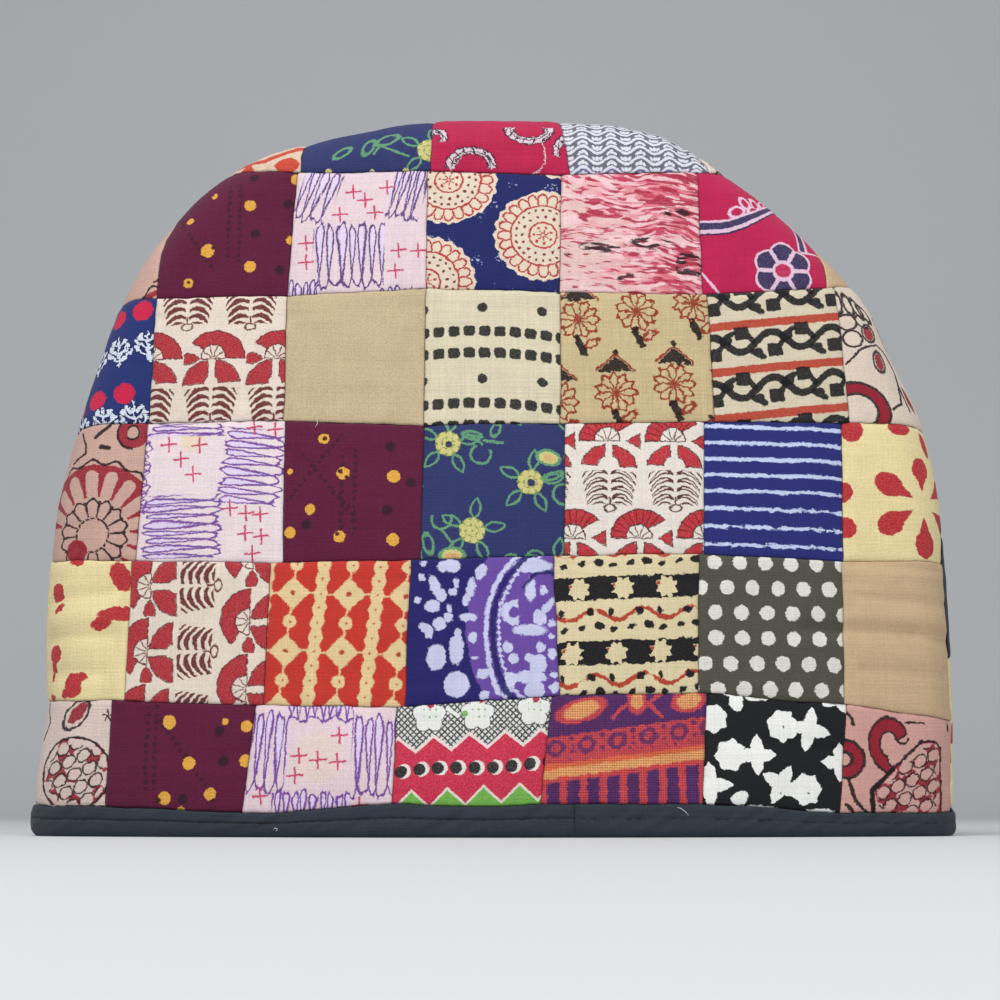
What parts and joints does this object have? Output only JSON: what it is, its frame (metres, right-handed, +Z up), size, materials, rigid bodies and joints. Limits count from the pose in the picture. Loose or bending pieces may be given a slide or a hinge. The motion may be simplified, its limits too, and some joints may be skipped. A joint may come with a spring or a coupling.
{
  "type": "tea cosy",
  "caption": "Padded patchwork tea cosy of pieced printed cotton squares, arched and open below, with a dark cotton binding round its hem.",
  "frame": {"origin": "on the floor under the middle of the hem", "axes": "+X along the cosy's width, to the right of someone facing its front; +Y through it from front to back; +Z up to the crown"},
  "size_m": [0.3354, 0.11, 0.27],
  "materials": {
    "patchwork_front": "matt plain-weave cotton in many block prints",
    "patchwork_back": "matt plain-weave cotton in many block prints",
    "binding_cotton": "matt charcoal cotton, slightly rumpled"
  },
  "bodies": {
    "root": {"front_panel": "patchwork_front", "back_panel": "patchwork_back", "hem_binding": "binding_cotton"}
  },
  "joints": []
}
